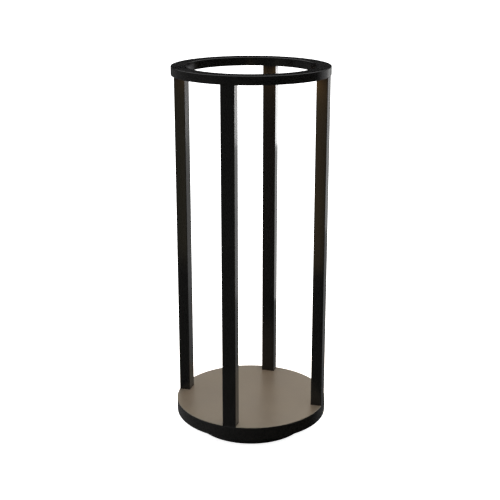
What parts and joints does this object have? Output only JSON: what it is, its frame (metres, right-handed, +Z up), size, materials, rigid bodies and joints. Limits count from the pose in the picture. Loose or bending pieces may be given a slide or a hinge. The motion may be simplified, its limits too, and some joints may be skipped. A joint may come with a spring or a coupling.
{
  "type": "firewood log rack",
  "caption": "Tall round open firewood log rack: a flat black ring on straight box-section uprights over a taupe floor plate and a recessed round plinth.",
  "frame": {"origin": "on the floor under the middle of the rack", "axes": "+Z up along the rack's axis, -Y to the front; the uprights stand on the diagonals between X and Y"},
  "size_m": [0.4, 0.4, 0.9692],
  "materials": {
    "black_coat": "satin black powder coat on steel",
    "taupe_coat": "satin taupe powder coat on sheet steel",
    "zinc_steel": "zinc plated",
    "bare_steel": "bare mild steel, as rolled",
    "pad_rubber": "matt"
  },
  "bodies": {
    "root": {"top_ring": "black_coat", "upright_front_left": "black_coat", "upright_front_right": "black_coat", "upright_back_left": "black_coat", "upright_back_right": "black_coat", "floor_plate": "taupe_coat", "base_hoop": "black_coat", "base_deck": "black_coat", "plinth": "black_coat", "ballast_plate": "bare_steel", "foot_block_front_left": "bare_steel", "foot_block_front_right": "bare_steel", "foot_block_back_left": "bare_steel", "foot_block_back_right": "bare_steel", "head_block_front_left": "bare_steel", "head_block_front_right": "bare_steel", "head_block_back_left": "bare_steel", "head_block_back_right": "bare_steel", "ring_boss_front_left": "bare_steel", "ring_boss_front_right": "bare_steel", "ring_boss_back_left": "bare_steel", "ring_boss_back_right": "bare_steel", "tie_rod_front_left": "zinc_steel", "tie_rod_front_right": "zinc_steel", "tie_rod_back_left": "zinc_steel", "tie_rod_back_right": "zinc_steel", "washer_front_left": "zinc_steel", "washer_front_right": "zinc_steel", "washer_back_left": "zinc_steel", "washer_back_right": "zinc_steel", "nut_front_left": "zinc_steel", "nut_front_right": "zinc_steel", "nut_back_left": "zinc_steel", "nut_back_right": "zinc_steel", "plinth_screw_front": "zinc_steel", "plinth_screw_right": "zinc_steel", "plinth_screw_back": "zinc_steel", "plinth_screw_left": "zinc_steel", "ballast_screw_front": "zinc_steel", "ballast_screw_right": "zinc_steel", "ballast_screw_back": "zinc_steel", "ballast_screw_left": "zinc_steel", "floor_pad_1": "pad_rubber", "floor_pad_2": "pad_rubber", "floor_pad_3": "pad_rubber", "floor_pad_4": "pad_rubber"}
  },
  "joints": []
}
